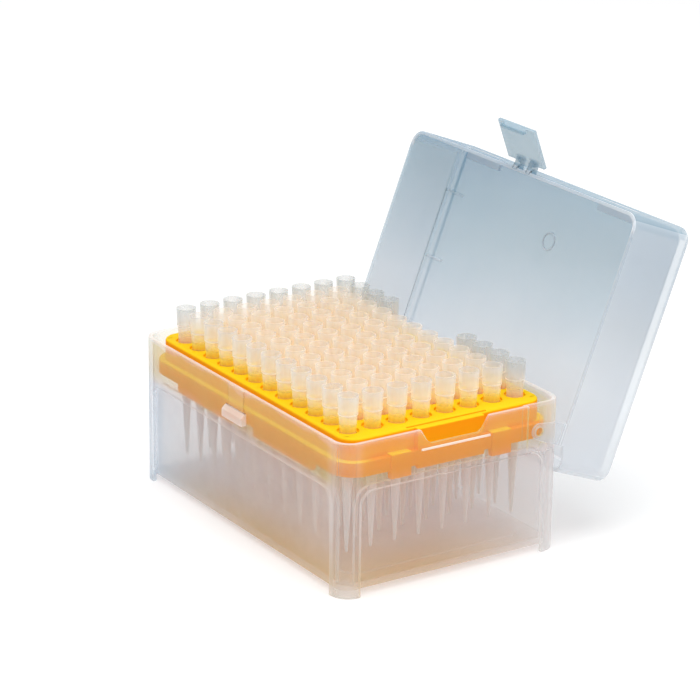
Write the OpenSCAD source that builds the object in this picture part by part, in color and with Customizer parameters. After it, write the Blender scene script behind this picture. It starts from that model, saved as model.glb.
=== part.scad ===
// Hinged rack box with 12 x 8 filter tips: frosted base, tray, tips with filter plugs, lid and latch.
// Millimetres. X runs along the long side, the latch is at -Y, the hinge near +Y, Z is up.
// The origin is the centre of the footprint, on the plane of the feet.
// The lid is drawn open against its stop, and the latch stands off the lid's free edge.

/* [Tip grid] */
// Distance between neighbouring tips
pitch = 9; // [8.8:0.05:9.6]
// Tips missing from the row at the hinge side
missing_tips = 4; // [0:1:6]
// Place of the first missing tip, counted from the +X end
first_missing = 5; // [2:1:6]

/* [Tip] */
// Length of a tip from collar to orifice
tip_len = 51.8; // [46:0.2:53]
// How far a tip stands out above the deck
tip_up = 11.5; // [8:0.5:14]
// Outer radius at the collar's mouth
tip_mouth_r = 3.3; // [3.1:0.05:3.5]
// Outer radius of the stem where it enters the deck
tip_neck_r = 2.6; // [2.5:0.05:2.7]
// How far the shoulder stands out from the taper below it
shoulder_step = 0.28; // [0.24:0.02:0.5]
// Outer radius at the orifice
tip_end_r = 0.45; // [0.4:0.05:0.7]
// Inner radius at the orifice
tip_bore_r = 0.22; // [0.2:0.01:0.3]
// Wall thickness of the collar
tip_wall = 0.42; // [0.3:0.02:0.5]
// Distance from the mouth down to the collar's ring
ring_drop = 6.3; // [4:0.1:8]
// How far that ring stands out from the collar
ring_out = 0.15; // [0.05:0.05:0.3]
// Height of that ring
ring_w = 0.6; // [0.3:0.1:1]
// Height of the straight edge at the mouth
mouth_edge = 0.5; // [0.2:0.1:1]
// Distance from the mouth down to the top of the filter plug
filter_drop = 29; // [24:0.5:32]
// Length of the filter plug
filter_len = 4.8; // [3:0.2:7]
// Gap between the plug and the tip's wall
filter_gap = 0.03; // [0.02:0.01:0.05]
// Clear height between the tips' ends and the floor
end_clear = 5.8; // [3:0.2:10]

/* [Tray] */
// From the last tip's centre to the end of the deck, along X
deck_margin_x = 8.5; // [7:0.1:11]
// From the last tip's centre to the edge of the deck, along Y
deck_margin_y = 5.7; // [5.5:0.1:8]
// Corner radius of the deck
deck_r = 6; // [3:0.5:7]
// Thickness of the deck
deck_t = 1.6; // [1.2:0.1:2.2]
// How far the deck's top edge is set back, on its upper and its lower step
edge_in = 1; // [0.5:0.1:1.4]
edge_mid = 0.4; // [0.2:0.1:0.5]
// Height of the upper step
edge_h = 0.3; // [0.1:0.1:0.7]
// Wall thickness of the skirt
skirt_t = 1.5; // [1:0.1:1.9]
// How far the lower band stands out past the deck
band_step = 2.2; // [1.9:0.1:3]
// Depth of the lower band's top edge below the deck
band_drop = 7; // [5.5:0.25:8]
// Depth of the skirt at the corners
skirt_drop = 11.7; // [10:0.1:12.4]
// Depth of the skirt's bearing edges, which stand on the base's shelf
seat_drop = 14.4; // [13:0.1:16]
// Width of the notch in the skirt behind the catch
skirt_notch_w = 13; // [8:1:20]
// Length of each bearing edge on the long sides
seat_len = 35; // [20:1:38]
// Width of the two tabs on each short side
tab_w = 7.5; // [5:0.5:9]
// Distance of a tab's centre from the middle of the short side
tab_y = 18.9; // [17:0.1:21]
// How far a tab stands out from the band
tab_out = 0.4; // [0.1:0.1:0.5]
// How far a tab's top stands above the band's top edge
tab_rise = 0.5; // [0:0.1:1]
// How far the middle strip on each short side reaches below the skirt
strip_drop = 1.3; // [0.5:0.1:2]
// Width of the grip on each short side
grip_w = 25; // [18:0.5:27]
// How far the grip stands out past the deck
grip_out = 1.8; // [1:0.1:2]
// How far the grip's top lies below the deck
grip_sink = 0.1; // [0.05:0.05:0.5]
// Width and depth of the groove between the deck and the grip
groove_w = 0.7; // [0.4:0.1:1]
groove_depth = 0.6; // [0.3:0.1:1]
// Distance of the groove's middle from the deck's end
groove_in = 1.1; // [0.9:0.1:1.5]
// How far the groove runs past the grip at each end
groove_over = 2.5; // [1:0.5:4]

/* [Tip socket] */
// How much wider the recess around a socket's mouth is than the socket
mouth_step = 0.65; // [0.3:0.05:0.9]
// Depth of that recess
mouth_depth = 0.8; // [0.4:0.1:1.2]
// Radial clearance between a tip's neck and its socket
neck_gap = 0.15; // [0.1:0.01:0.3]
// Radial clearance between a tip's taper and the bore below the ledge
stem_gap = 0.16; // [0.1:0.01:0.2]
// Depth of that ledge below the deck
seat_depth = 5; // [4:0.25:7]
// Depth of the socket's tube below the deck
socket_depth = 9.5; // [8:0.25:11]
// Wall thickness of the tube
socket_wall = 0.8; // [0.6:0.05:1]

/* [Base] */
// Wall thickness of the base
wall_t = 1.4; // [1.1:0.05:1.8]
// Gap between the tray's lower band and the base's wall
tray_gap = 0.75; // [0.6:0.05:1.2]
// Corner radius of the base
corner_r = 6.5; // [5:0.25:8]
// How far the base's rim stands above the deck
rim_lip = 0.45; // [0:0.05:1.5]
// Height of the corner feet
foot_h = 2.3; // [1.5:0.1:4]
// Thickness of the floor
floor_t = 1.5; // [1.2:0.1:2.5]
// Width of the corner posts
post_w = 7.2; // [5:0.2:9]
// How far the walls between the posts are set in
inset = 1.6; // [1:0.1:2]
// Radius of the upper corners of those set-in walls
arch_r = 5; // [3:0.5:7]
// Height of the raised field on the floor
field_t = 0.6; // [0.3:0.1:1]
// Distance of that field's edge from the inner faces of the walls
field_in = 7; // [5:0.5:12]
// Width of the finger notch at the rim
notch_w = 25.8; // [20:0.2:26]
// Width of the finger notch at its bottom
notch_bottom_w = 18.7; // [12:0.1:19]
// Depth of the finger notch below the rim
notch_depth = 5; // [3:0.1:6]
// Size of the bevels at the notch's bottom corners
notch_bevel = 1; // [0.5:0.1:2]
// Thickness of the small rib under the notch
rib_t = 0.7; // [0.4:0.1:1]

/* [Lid] */
// Height of the lid, with the border on its panel
lid_h = 24.4; // [18:0.2:26]
// Thickness of the lid's walls
lid_t = 1.1; // [0.9:0.05:1.2]
// Thickness of the lid's panel
panel_t = 1.2; // [0.9:0.05:1.6]
// Corner radius of the lid
lid_corner_r = 5.2; // [4.5:0.1:6.5]
// Radius of the lid's top edges outside, and of its fillets inside
lid_edge_r = 1; // [0.6:0.1:2]
lid_fillet_r = 1.1; // [0.6:0.1:2]
// Height and width of the raised border round the panel
border_h = 1.8; // [0.8:0.1:2]
border_w = 2.2; // [2:0.1:3.5]
// How far the lid's back wall stands out past the base
lid_over = 3.3; // [1:0.1:4]
// Gap between the closed lid's rim and the base's rim
rim_gap = 0.15; // [0.1:0.05:0.4]
// Angle between the closed lid and the lid on its stop, in degrees
open_deg = 111; // [100:1:114]
// Length of the two pads inside the front wall
pad_len = 19; // [10:1:24]
// How far those pads stand out from the wall
pad_w = 3; // [1:0.1:3.4]
// Distance of a pad's centre from the middle
pad_x = 37; // [26:1:44]
// Distance of the pads from the lid's top
pad_drop = 10.9; // [6:0.1:14]
// Length of the ribs beside the short walls
rib_len = 9; // [4:1:20]
// Distance between those ribs
rib_y = 24; // [12:1:28]
// Radius of the ring at the injection point
gate_r = 3.2; // [2:0.1:4]
// Width and height of that ring's edge
gate_w = 0.5; // [0.3:0.1:1]
gate_t = 0.4; // [0.2:0.1:0.8]
// Distance of that ring from the middle of the panel
gate_y = 21; // [0:1:28]

/* [Lid hinge] */
// Distance of the hinge's axis from the base's back face
pivot_in = 9; // [8:0.1:10]
// Distance of the hinge's axis below the rim
pivot_drop = 9.5; // [8.5:0.1:10.5]
// Radius of the hinge's pins
pin_r = 1.45; // [1.1:0.05:1.6]
// Radial clearance of the pins
pin_gap = 0.05; // [0.02:0.01:0.1]
// Radius of the ears' round ends
ear_r = 2.8; // [2.6:0.1:3.2]
// How far the ears' roots reach to the front and to the back of the axis
ear_front = 4.2; // [3.6:0.1:4.4]
ear_back = 2.8; // [2.4:0.1:3]
// Clearance on each face of an ear
ear_gap = 0.15; // [0.1:0.05:0.2]
// Radius of the boss that stops the ear
stop_r = 1.7; // [1.2:0.1:1.8]
// How far the boss's near side lies from the axis, along the open ear
stop_rise = 1.5; // [1:0.1:2]
// Gap between the open lid's lower edge and the base's back face
back_gap = 0.25; // [0.1:0.05:0.5]

/* [Latch] */
// Width of the latch
latch_w = 20; // [14:1:26]
// Thickness of the latch
latch_t = 1.2; // [1:0.05:1.5]
// Height of the latch's axis above the base's rim
latch_rise = 1.6; // [1.2:0.1:3]
// Distance of the latch's axis from the lid's front wall
latch_off = 2.9; // [2.6:0.1:3.4]
// Outer radius of the latch's knuckle and the lugs
knuckle_r = 1.5; // [1.3:0.05:1.7]
// Radius of the latch's pins
latch_pin_r = 0.8; // [0.6:0.05:0.9]
// Length of the latch's knuckle
knuckle_len = 5; // [4:0.5:8]
// Thickness of each lug
lug_t = 2; // [1.2:0.1:2.5]
// Gap between the knuckle and the top of the plate
plate_gap = 0.4; // [0.2:0.1:0.6]
// Clearance on each side of the knuckle
lug_gap = 0.15; // [0.1:0.05:0.2]
// Width of the catch on the base
catch_w = 12.4; // [8:0.2:18]
// Height of the catch
catch_h = 4; // [3:0.1:6]
// Distance of the catch's top below the rim
catch_drop = 7.2; // [5.5:0.1:8]
// Depth of the catch at its top edge
catch_lead = 0.7; // [0.3:0.1:1.2]
// Height of the slope that leads the latch over the catch
catch_slope = 1.4; // [1:0.1:2]
// Width of the strip that guides the latch down to the catch
guide_w = 9.4; // [4:0.2:10]
// How far that strip stands out from the wall
guide_out = 0.35; // [0.2:0.05:0.5]
// Gap between the hooked latch's plate and the catch
catch_gap = 0.2; // [0.1:0.05:0.4]
// Gap between the hooked lip and the catch above it
hook_gap = 0.3; // [0.2:0.05:0.5]
// Gap between the hooked lip and the base's wall
lip_gap = 0.45; // [0.3:0.05:0.8]
// Height of the latch's hooked lip
lip_h = 1.2; // [1:0.1:2]
// Angle that the latch stands off from its hooked place, in degrees
latch_deg = 49; // [0:1:90]

/* [Hidden] */
$fn = 48;
eps = 0.01;
cut = 1;
min_r = 0.8;
cols = 12;
rows = 8;

frosted = [0.88, 0.89, 0.90, 0.45];
lid_blue = [0.78, 0.85, 0.90, 0.40];
tray_yellow = [1.00, 0.72, 0.06];
tip_clear = [0.93, 0.95, 0.97, 0.60];
filter_white = [0.96, 0.95, 0.92];

// levels, from the bench up
floor_z = foot_h + floor_t;
field_z = floor_z + field_t;
deck_h = field_z + end_clear + tip_len - tip_up;
rim_z = deck_h + rim_lip;
shelf_z = deck_h - seat_drop;
arch_z = shelf_z - wall_t;

// tips and their sockets
tip_stem_r = tip_neck_r - shoulder_step;
neck_in_r = tip_stem_r - tip_wall;
shoulder_h = tip_len - tip_up - seat_depth;
neck_bore_r = tip_neck_r + neck_gap;
seat_bore_r = tip_stem_r + stem_gap;
mouth_bore_r = neck_bore_r + mouth_step;
tube_r = neck_bore_r + socket_wall;

// tray outline
deck_hx = (cols - 1) * pitch / 2 + deck_margin_x;
deck_hy = (rows - 1) * pitch / 2 + deck_margin_y;
band_hx = deck_hx + band_step;
band_hy = deck_hy + band_step;
band_r = deck_r + band_step;
skirt_in = band_step + skirt_t;

// base outline
hx = band_hx + tray_gap + wall_t;
hy = band_hy + tray_gap + wall_t;

// hinge
pivot_y = hy - pivot_in;
pivot_z = rim_z - pivot_drop;
ear_t = lid_t;
hinge_set = ear_t + ear_gap;
pad_face = band_hx + ear_gap;
ear_root_h = pivot_drop / 2;
pocket_y = pivot_y - ear_front - 2 * ear_gap;
pocket_z = pivot_z - ear_r / cos(open_deg - 90) - pivot_in * tan(open_deg - 90) - 2 * ear_gap;
pad_end = hy - corner_r + sqrt(pow(corner_r, 2) - pow(corner_r - hinge_set, 2)) - 2 * ear_gap;
stop_along = stop_r + stop_rise;
stop_off = max(ear_r, ear_back) + stop_r + ear_gap;

// lid, closed
lid_z = rim_z + rim_gap;
lid_top = rim_z + lid_h;
panel_z = lid_top - border_h - panel_t;
ear_top = lid_z + (ear_front + ear_back) / 2;

// latch, with the lid closed
latch_y = -hy - latch_off;
latch_z = rim_z + latch_rise;
catch_out = latch_off - latch_t / 2 - catch_gap;
catch_top = rim_z - catch_drop;
catch_bottom = catch_top - catch_h;
lip_top = catch_bottom - hook_gap;
plate_top = latch_z - knuckle_r - plate_gap;
shoulder_w = latch_w / 2 - knuckle_len / 2 - 2 * lug_gap - lug_t;

// position of column i, counted from the +X end, and of row j, counted from the latch side
function col_x(i) = ((cols - 1) / 2 - i) * pitch;
function row_y(j) = (j - (rows - 1) / 2) * pitch;
function tip_here(i, j) = j < rows - 1 || i < first_missing - 1 || i > first_missing + missing_tips - 2;

// rectangle with round corners, given by its half sizes
module round_rect(rx, ry, r) {
    square([2 * rx, 2 * (ry - r)], center = true);
    square([2 * (rx - r), 2 * ry], center = true);
    for (sx = [-1, 1], sy = [-1, 1])
        translate([sx * (rx - r), sy * (ry - r)])
            circle(r = r);
}

// upright slab between two levels
module slab(rx, ry, r, z0, z1) {
    translate([0, 0, z0])
        linear_extrude(height = z1 - z0)
            round_rect(rx, ry, r);
}

// the same, with a hole inside it
module frame_ring(rx, ry, r, t, z0, z1) {
    translate([0, 0, z0])
        linear_extrude(height = z1 - z0)
            difference() {
                round_rect(rx, ry, r);
                round_rect(rx - t, ry - t, max(r - t, min_r));
            }
}

// upright panel with round upper corners, standing on z = 0 and facing -Y
module arch_panel(w, h, r, t) {
    rotate([90, 0, 0])
        linear_extrude(height = t)
            union() {
                translate([-w / 2, 0])
                    square([w, h - r]);
                translate([-w / 2 + r, h - r - eps])
                    square([w - 2 * r, r + eps]);
                for (s = [-1, 1])
                    translate([s * (w / 2 - r), h - r])
                        circle(r = r);
            }
}

// one copy on each of the four sides: front and back, then the two short sides
module on_sides(long_w, short_w, h, r, t, out_y, out_x, z0) {
    for (a = [0, 180])
        rotate([0, 0, a])
            translate([0, -out_y + t, z0])
                arch_panel(long_w, h, r, t);
    for (a = [90, 270])
        rotate([0, 0, a])
            translate([0, -out_x + t, z0])
                arch_panel(short_w, h, r, t);
}

// ---- base ----

// right half of the notch's outline, from its bottom up to above the rim
notch_half = [[notch_bottom_w / 2 - notch_bevel / 2, -notch_depth],
              [notch_bottom_w / 2 + notch_bevel, -notch_depth + notch_bevel],
              [notch_w / 2, 0],
              [notch_w / 2, cut]];
notch_other_half = [for (i = [len(notch_half) - 1 : -1 : 0]) [-notch_half[i][0], notch_half[i][1]]];

module finger_notch() {
    for (s = [-1, 1])
        translate([s * hx - 2 * wall_t, 0, rim_z])
            rotate([90, 0, 90])
                linear_extrude(height = 4 * wall_t)
                    polygon(concat(notch_half, notch_other_half));
}

module base_shell() {
    difference() {
        slab(hx, hy, corner_r, 0, rim_z);
        slab(hx - wall_t, hy - wall_t, corner_r - wall_t, floor_z, rim_z + cut);
        slab(hx - wall_t, hy - wall_t, corner_r - wall_t, -cut, foot_h);
        // gaps between the corner feet
        cube([2 * (hx - post_w), 2 * (hy + cut), 2 * foot_h], center = true);
        cube([2 * (hx + cut), 2 * (hy - post_w), 2 * foot_h], center = true);
    }
    // walls between the posts, with the shelf that carries the tray
    on_sides(2 * (hx - post_w + wall_t), 2 * (hy - post_w + wall_t), shelf_z - foot_h, arch_r + wall_t,
             inset + eps, hy - wall_t + eps, hx - wall_t + eps, foot_h);
    slab(hx - wall_t - field_in, hy - wall_t - field_in, arch_r, foot_h, field_z);
}

// the catch and the flat strip that guides the latch down to it
module catch_block() {
    translate([-catch_w / 2, -hy, 0])
        rotate([90, 0, 90])
            linear_extrude(height = catch_w)
                polygon([[wall_t / 2, catch_top], [-catch_lead, catch_top],
                         [-catch_out, catch_top - catch_slope], [-catch_out, catch_bottom],
                         [wall_t / 2, catch_bottom]]);
    translate([-guide_w / 2, -hy - guide_out, catch_bottom])
        cube([guide_w, guide_out + wall_t / 2, rim_z - catch_bottom]);
}

// what is cut away at one short wall for the lid's ear
module hinge_pocket() {
    translate([hx - hinge_set, pocket_y, pocket_z])
        cube([hinge_set + cut, hy, rim_z]);
}

// the block that the pocket is cut into, which leaves a thinner wall behind it
module hinge_block() {
    translate([pad_face, pocket_y - wall_t, pocket_z - wall_t])
        cube([hx - wall_t / 2 - pad_face, pad_end - pocket_y + wall_t, rim_z - pocket_z + wall_t]);
}

// the pin that carries the lid's ear, and the boss that stops the ear when the lid is open
module hinge_pin() {
    translate([pad_face, pivot_y, pivot_z]) {
        rotate([0, 90, 0])
            cylinder(r = pin_r, h = hx - pad_face);
        rotate([-open_deg, 0, 0])
            translate([0, stop_off, stop_along])
                rotate([0, 90, 0])
                    cylinder(r = stop_r, h = hx - pad_face);
    }
}

module both_ends() {
    children();
    mirror([1, 0, 0])
        children();
}

module base_box() {
    color(frosted) {
        difference() {
            union() {
                base_shell();
                both_ends()
                    hinge_block();
            }
            on_sides(2 * (hx - post_w), 2 * (hy - post_w), arch_z + cut, arch_r,
                     inset + cut, hy + cut, hx + cut, -cut);
            finger_notch();
            both_ends()
                hinge_pocket();
        }
        both_ends()
            hinge_pin();
        catch_block();
        for (s = [-1, 1])
            translate([s * hx, 0, rim_z - notch_depth - 2 * rib_t])
                cube([2 * rib_t, notch_w, rib_t], center = true);
    }
}

// ---- tray ----

// every socket of the grid, drawn at its place
module at_sockets() {
    for (i = [0 : cols - 1], j = [0 : rows - 1])
        translate([col_x(i), row_y(j)])
            children();
}

module tray_deck() {
    // top skin with the wide socket mouths and a stepped edge; each step is [set back, top, bottom]
    for (step = [[edge_in, 0, edge_h], [edge_mid, edge_h, mouth_depth]])
        translate([0, 0, -step[2]])
            linear_extrude(height = step[2] - step[1])
                difference() {
                    round_rect(deck_hx - step[0], deck_hy - step[0], deck_r - step[0]);
                    at_sockets()
                        circle(r = mouth_bore_r);
                }
    translate([0, 0, -deck_t])
        linear_extrude(height = deck_t - mouth_depth)
            difference() {
                round_rect(deck_hx, deck_hy, deck_r);
                at_sockets()
                    circle(r = neck_bore_r);
            }
    // socket tubes, with the ledge that carries a tip's shoulder
    translate([0, 0, -seat_depth])
        linear_extrude(height = seat_depth - deck_t)
            difference() {
                at_sockets()
                    circle(r = tube_r);
                at_sockets()
                    circle(r = neck_bore_r);
            }
    translate([0, 0, -socket_depth])
        linear_extrude(height = socket_depth - seat_depth)
            difference() {
                at_sockets()
                    circle(r = tube_r);
                at_sockets()
                    circle(r = seat_bore_r);
            }
}

module tray_skirt() {
    frame_ring(deck_hx, deck_hy, deck_r, skirt_t, -band_drop, -deck_t + eps);
    frame_ring(band_hx, band_hy, band_r, skirt_in, -band_drop - deck_t, -band_drop);
    frame_ring(band_hx, band_hy, band_r, skirt_t, -skirt_drop, -band_drop - deck_t);
    // bearing edges on the long sides
    for (sx = [-1, 1], sy = [-1, 1])
        translate([sx * (skirt_notch_w + seat_len) / 2, sy * (band_hy - skirt_t / 2),
                   -(seat_drop + band_drop) / 2])
            cube([seat_len, skirt_t, seat_drop - band_drop], center = true);
    // tabs and middle strip on the short sides
    for (sx = [-1, 1]) {
        for (sy = [-1, 1])
            translate([sx * (band_hx - skirt_t / 2 + tab_out / 2), sy * tab_y,
                       (tab_rise - seat_drop - band_drop) / 2])
                cube([skirt_t + tab_out, tab_w, seat_drop - band_drop + tab_rise], center = true);
        translate([sx * (band_hx - skirt_t / 2), 0, -skirt_drop - strip_drop / 2])
            cube([skirt_t, grip_w, strip_drop + 2 * eps], center = true);
    }
}

// the grip that shows in the base's finger notch
module tray_grip() {
    for (sx = [-1, 1])
        translate([sx * (deck_hx - skirt_t / 2 + grip_out / 2), 0, -(band_drop + grip_sink) / 2])
            cube([skirt_t + grip_out, grip_w, band_drop - grip_sink + 2 * eps], center = true);
}

module tip_tray() {
    color(tray_yellow)
        translate([0, 0, deck_h])
            difference() {
                union() {
                    tray_deck();
                    tray_skirt();
                    tray_grip();
                }
                // groove between the deck and the grip
                for (sx = [-1, 1])
                    translate([sx * (deck_hx - groove_in), 0, 0])
                        cube([groove_w, grip_w + 2 * groove_over, 2 * groove_depth], center = true);
            }
}

// ---- tips ----

// inner radius of a tip's taper at a height above its orifice
function taper_in_r(h) = tip_bore_r + (neck_in_r - tip_bore_r) * h / shoulder_h;

module tip() {
    ring_h = tip_len - ring_drop;
    deck_at = tip_len - tip_up;
    ring_r = tip_neck_r + (tip_mouth_r - tip_neck_r) * (ring_h - deck_at) / tip_up;
    rotate_extrude($fn = 32)
        polygon([[tip_bore_r, 0], [tip_end_r, 0], [tip_stem_r, shoulder_h], [tip_neck_r, shoulder_h],
                 [tip_neck_r, deck_at], [ring_r, ring_h], [ring_r + ring_out, ring_h],
                 [ring_r + ring_out, ring_h + ring_w], [tip_mouth_r, tip_len - mouth_edge],
                 [tip_mouth_r, tip_len], [tip_mouth_r - tip_wall, tip_len],
                 [tip_neck_r - tip_wall, deck_at], [neck_in_r, shoulder_h]]);
}

module filter_plug() {
    z0 = tip_len - filter_drop - filter_len;
    translate([0, 0, z0])
        cylinder(r1 = taper_in_r(z0) - filter_gap, r2 = taper_in_r(z0 + filter_len) - filter_gap,
                 h = filter_len, $fn = 32);
}

module along_row(j) {
    for (i = [0 : cols - 1])
        if (tip_here(i, j))
            translate([col_x(i), row_y(j), deck_h + tip_up - tip_len])
                children();
}

module tip_row(j) {
    color(tip_clear)
        along_row(j)
            tip();
}

module filter_row(j) {
    color(filter_white)
        along_row(j)
            filter_plug();
}

// ---- lid, drawn closed and then swung to its stop ----

// swings what is drawn with the lid closed to where the open lid stands
module lid_open() {
    translate([0, pivot_y, pivot_z])
        rotate([-open_deg, 0, 0])
            translate([0, -pivot_y, -pivot_z])
                children();
}

// block with round upright corners and a round upper edge
module pillow(rx, y0, y1, r, edge, z0, z1) {
    hull()
        for (x = [-rx + r, rx - r], y = [y0 + r, y1 - r])
            translate([x, y, z0]) {
                cylinder(r = r, h = z1 - z0 - edge, $fn = 32);
                translate([0, 0, z1 - z0 - edge])
                    rotate_extrude($fn = 32)
                        intersection() {
                            square([r, edge]);
                            translate([r - edge, 0])
                                circle(r = edge, $fn = 32);
                        }
                cylinder(r = r - edge, h = z1 - z0, $fn = 32);
            }
}

module lid_shell() {
    difference() {
        pillow(hx, -hy, hy + lid_over, lid_corner_r, lid_edge_r, lid_z, lid_top);
        pillow(hx - lid_t, -hy + lid_t, hy + lid_over - lid_t, lid_corner_r - lid_t, lid_fillet_r,
               lid_z - cut, panel_z);
        translate([0, lid_over / 2, 0])
            slab(hx - border_w, hy + lid_over / 2 - border_w, lid_corner_r - border_w, lid_top - border_h, lid_top + cut);
    }
}

// ear on one side wall, with the bore that turns on the base's pin
module lid_ear() {
    translate([hx - ear_t, 0, 0])
        rotate([90, 0, 90])
            linear_extrude(height = ear_t)
                difference() {
                    union() {
                        translate([pivot_y, pivot_z])
                            circle(r = ear_r);
                        polygon([[pivot_y - ear_r, pivot_z], [pivot_y - ear_front, pivot_z + ear_root_h],
                                 [pivot_y - ear_front, ear_top], [pivot_y + ear_back, ear_top],
                                 [pivot_y + ear_r, pivot_z]]);
                    }
                    translate([pivot_y, pivot_z])
                        circle(r = pin_r + pin_gap);
                }
}

// lugs that carry the latch's pins
module latch_lugs() {
    for (s = [-1, 1])
        translate([s * (knuckle_len / 2 + lug_gap + lug_t / 2), 0, 0])
            difference() {
                union() {
                    translate([-lug_t / 2, latch_y, latch_z])
                        rotate([0, 90, 0])
                            cylinder(r = knuckle_r, h = lug_t);
                    translate([-lug_t / 2, latch_y, latch_z - knuckle_r])
                        cube([lug_t, latch_off + lid_t / 2, 2 * knuckle_r]);
                }
                translate([-lug_t, latch_y, latch_z])
                    rotate([0, 90, 0])
                        cylinder(r = latch_pin_r + pin_gap, h = 2 * lug_t);
            }
}

// small features inside the lid: pads on the front wall, ribs beside the short walls, gate ring
module lid_inside() {
    for (s = [-1, 1])
        translate([s * pad_x, -hy + lid_t / 2 + pad_w / 2, lid_top - pad_drop])
            cube([pad_len, pad_w + lid_t, panel_t], center = true);
    for (s = [-1, 1], y = [-rib_y, 0, rib_y])
        translate([s * (hx - lid_t - rib_len / 2), y, panel_z])
            cube([rib_len + lid_t, rib_t, 2 * rib_t], center = true);
    translate([0, -gate_y, panel_z - gate_t])
        difference() {
            cylinder(r = gate_r, h = gate_t + gate_w);
            translate([0, 0, -cut])
                cylinder(r = gate_r - gate_w, h = gate_t + cut);
        }
}

module lid() {
    color(lid_blue) {
        difference() {
            lid_open()
                lid_shell();
            // the open lid's lower edges end just behind the base
            translate([-hx - cut, 0, 0])
                cube([2 * (hx + cut), hy + back_gap, rim_z]);
        }
        lid_open() {
            both_ends()
                lid_ear();
            latch_lugs();
            lid_inside();
        }
    }
}

// ---- latch, drawn hooked on the closed lid and then swung ----

module latch_shape() {
    // knuckle with its two pins, and the web that joins it to the plate
    rotate([0, 90, 0]) {
        cylinder(r = knuckle_r, h = knuckle_len, center = true);
        cylinder(r = latch_pin_r, h = knuckle_len + 2 * (lug_gap + lug_t), center = true);
    }
    translate([-knuckle_len / 2, -latch_t / 2, plate_top - latch_z - latch_t])
        cube([knuckle_len, latch_t, latch_z - plate_top + latch_t]);
    // plate, with the lip that hooks under the catch
    translate([-latch_w / 2, -latch_t / 2, lip_top - lip_h - latch_z])
        cube([latch_w, latch_t, plate_top - lip_top + lip_h]);
    // shoulders of the plate on both sides of the lugs
    for (s = [-1, 1])
        translate([s * (latch_w / 2 - shoulder_w / 2), 0, -knuckle_r / 2 - plate_gap / 2])
            cube([shoulder_w, latch_t, knuckle_r + plate_gap + 2 * eps], center = true);
    translate([-catch_w / 2, 0, lip_top - lip_h - latch_z])
        cube([catch_w, latch_off - lip_gap, lip_h]);
}

module latch() {
    color(lid_blue)
        lid_open()
            translate([0, latch_y, latch_z])
                rotate([-latch_deg, 0, 0])
                    latch_shape();
}

base_box();
tip_tray();
lid();
latch();
tip_row(0);  // tip_row_a
tip_row(1);  // tip_row_b
tip_row(2);  // tip_row_c
tip_row(3);  // tip_row_d
tip_row(4);  // tip_row_e
tip_row(5);  // tip_row_f
tip_row(6);  // tip_row_g
tip_row(7);  // tip_row_h
filter_row(0);  // filter_row_a
filter_row(1);  // filter_row_b
filter_row(2);  // filter_row_c
filter_row(3);  // filter_row_d
filter_row(4);  // filter_row_e
filter_row(5);  // filter_row_f
filter_row(6);  // filter_row_g
filter_row(7);  // filter_row_h
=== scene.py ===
import bpy, bmesh, math
import numpy as np
from mathutils import Matrix, Vector


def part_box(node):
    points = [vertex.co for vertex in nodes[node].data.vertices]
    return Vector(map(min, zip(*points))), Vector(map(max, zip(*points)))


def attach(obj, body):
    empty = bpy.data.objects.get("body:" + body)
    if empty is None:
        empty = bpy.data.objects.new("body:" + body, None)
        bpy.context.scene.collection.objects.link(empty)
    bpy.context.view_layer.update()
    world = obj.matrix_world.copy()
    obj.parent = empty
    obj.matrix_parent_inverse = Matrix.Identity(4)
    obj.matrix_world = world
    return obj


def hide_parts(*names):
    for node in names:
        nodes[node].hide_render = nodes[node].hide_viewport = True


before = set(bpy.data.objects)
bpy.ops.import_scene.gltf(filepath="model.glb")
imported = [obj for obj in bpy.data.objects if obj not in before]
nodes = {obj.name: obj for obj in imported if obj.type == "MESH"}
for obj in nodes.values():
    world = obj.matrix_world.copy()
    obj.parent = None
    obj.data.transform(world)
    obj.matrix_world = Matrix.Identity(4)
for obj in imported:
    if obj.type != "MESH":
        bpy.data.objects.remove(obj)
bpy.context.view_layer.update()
scene = bpy.context.scene
mm = 0.001


cameraSetup = {
    "place": (0.74424, -0.48496, 0.36396),                # metres
    "turn": 56.843, "tilt": 19.114, "roll": 0.734,        # degrees
    "lens": 148.996, "sensor": 36, "nearest": 0.05, "furthest": 20,
}

def placeCamera(setup):
    # The view line is found from turn and tilt, and roll then turns the picture about that line.
    turn, tilt, roll = (math.radians(setup[key]) for key in ("turn", "tilt", "roll"))
    forward = Vector((-math.sin(turn) * math.cos(tilt), math.cos(turn) * math.cos(tilt), -math.sin(tilt)))
    level = Vector((math.cos(turn), math.sin(turn), 0))
    upward = level.cross(forward)
    right = math.cos(roll) * level + math.sin(roll) * upward
    top = -math.sin(roll) * level + math.cos(roll) * upward
    data = bpy.data.cameras.new("camera")
    data.lens, data.sensor_width = setup["lens"], setup["sensor"]
    data.clip_start, data.clip_end = setup["nearest"], setup["furthest"]
    camera = bpy.data.objects.new("camera", data)
    axes = Matrix((right, top, -forward)).transposed().to_4x4()
    camera.matrix_world = Matrix.Translation(setup["place"]) @ axes
    scene.collection.objects.link(camera)
    scene.camera = camera

lampSetup = {
    "sky": 0.5,                                 # how strongly the plain surroundings light the object
    "aim": 0.05,                                # height in metres that the lamps face
    # Place x, y, z, then size in metres and power in watts.
    "above": (0.10, -0.15, 1.5, 1.5, 20.0),
    "side": (1.6, 0.5, 0.9, 1.0, 5.5),
}

def placeLamp(name, x, y, z, size, power):
    data = bpy.data.lights.new(name, "AREA")
    data.shape, data.size, data.energy = "DISK", size, power
    lamp = bpy.data.objects.new(name, data)
    facing = Vector((x, y, z - lampSetup["aim"])).to_track_quat("Z", "Y").to_matrix().to_4x4()
    lamp.matrix_world = Matrix.Translation((x, y, z)) @ facing
    scene.collection.objects.link(lamp)

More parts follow.
